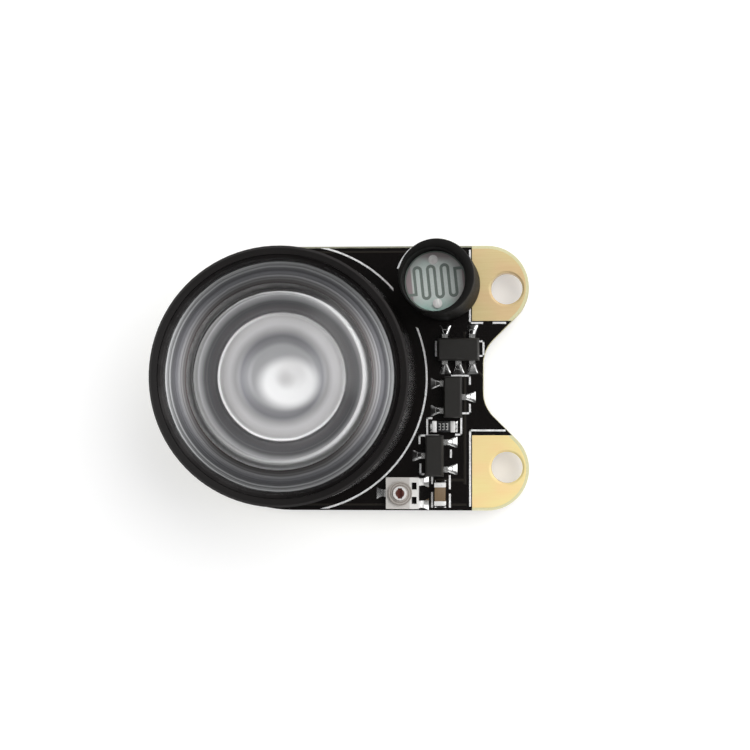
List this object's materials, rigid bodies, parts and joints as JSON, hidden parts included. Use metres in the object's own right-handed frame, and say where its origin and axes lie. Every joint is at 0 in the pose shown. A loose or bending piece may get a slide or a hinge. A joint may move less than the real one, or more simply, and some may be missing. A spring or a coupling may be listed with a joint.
{
  "type": "infrared illuminator board",
  "caption": "Small round-ended circuit board with a lensed infrared diode, a sleeved light sensor, a trimmer and gold screw ears.",
  "frame": {"origin": "midway between the two screw holes, on the underside of the gold lands", "axes": "+X from the lens to the screw ears, +Y to the light sensor's edge, +Z out of the lens"},
  "size_m": [0.0258, 0.0186, 0.0122],
  "materials": {
    "board_mask": "satin black solder mask over pale green-yellow laminate",
    "gold_plate": "gold plated copper, fine brushed",
    "holder_black": "satin black moulding",
    "ring_black": "smooth black moulding",
    "clear_acrylic": "polished clear acrylic",
    "clear_silicone": "clear silicone",
    "led_white": "white moulding",
    "led_silver": "silver plated",
    "led_chip": "polished crystal",
    "tin": "matt tin plate",
    "solder": "bright solder",
    "sleeve_black": "satin shrink sleeve",
    "sensor_ceramic": "ceramic with a brown-mauve light-sensitive layer",
    "sensor_film": "thin evaporated metal, grey-green",
    "chip_black": "fine matt moulding compound",
    "resistor_black": "black glaze over white ceramic",
    "capacitor_tan": "fired tan ceramic",
    "trimmer_ceramic": "pale grey ceramic",
    "rotor_metal": "turned nickel silver",
    "legend_white": "printed white ink"
  },
  "bodies": {
    "board": {"circuit_board": "board_mask", "upper_screw_pad": "gold_plate", "lower_screw_pad": "gold_plate", "lens_holder": "holder_black", "lens_retaining_ring": "ring_black", "collimating_lens": "clear_acrylic", "led_heat_slug": "led_silver", "led_body": "led_white", "led_die": "led_chip", "led_dome": "clear_silicone", "led_anode_lead": "tin", "led_cathode_lead": "tin", "led_solder": "solder", "sensor_sleeve": "sleeve_black", "sensor_disc": "sensor_ceramic", "sensor_upper_film": "sensor_film", "sensor_lower_film": "sensor_film", "sensor_upper_wire": "tin", "sensor_lower_wire": "tin", "sensor_solder": "solder", "driver_chip_body": "chip_black", "driver_chip_leads": "tin", "driver_chip_solder": "solder", "upper_transistor_body": "chip_black", "upper_transistor_leads": "tin", "upper_transistor_solder": "solder", "lower_transistor_body": "chip_black", "lower_transistor_leads": "tin", "lower_transistor_solder": "solder", "resistor_body": "resistor_black", "resistor_end_caps": "tin", "resistor_solder": "solder", "capacitor_body": "capacitor_tan", "capacitor_end_caps": "tin", "capacitor_solder": "solder", "trimmer_base": "trimmer_ceramic", "trimmer_end_tabs": "tin", "trimmer_wiper_tab": "tin", "trimmer_solder": "solder", "board_legend": "legend_white"},
    "rotor": {"trimmer_rotor": "rotor_metal"}
  },
  "joints": [
    {"name": "trimmer_turn", "type": "hinge", "parent": "board", "child": "rotor", "pos_m": [-0.00742, -0.00804, 0.0022], "axis": [0, 0, 1], "range_deg": [-125, 125]}
  ]
}
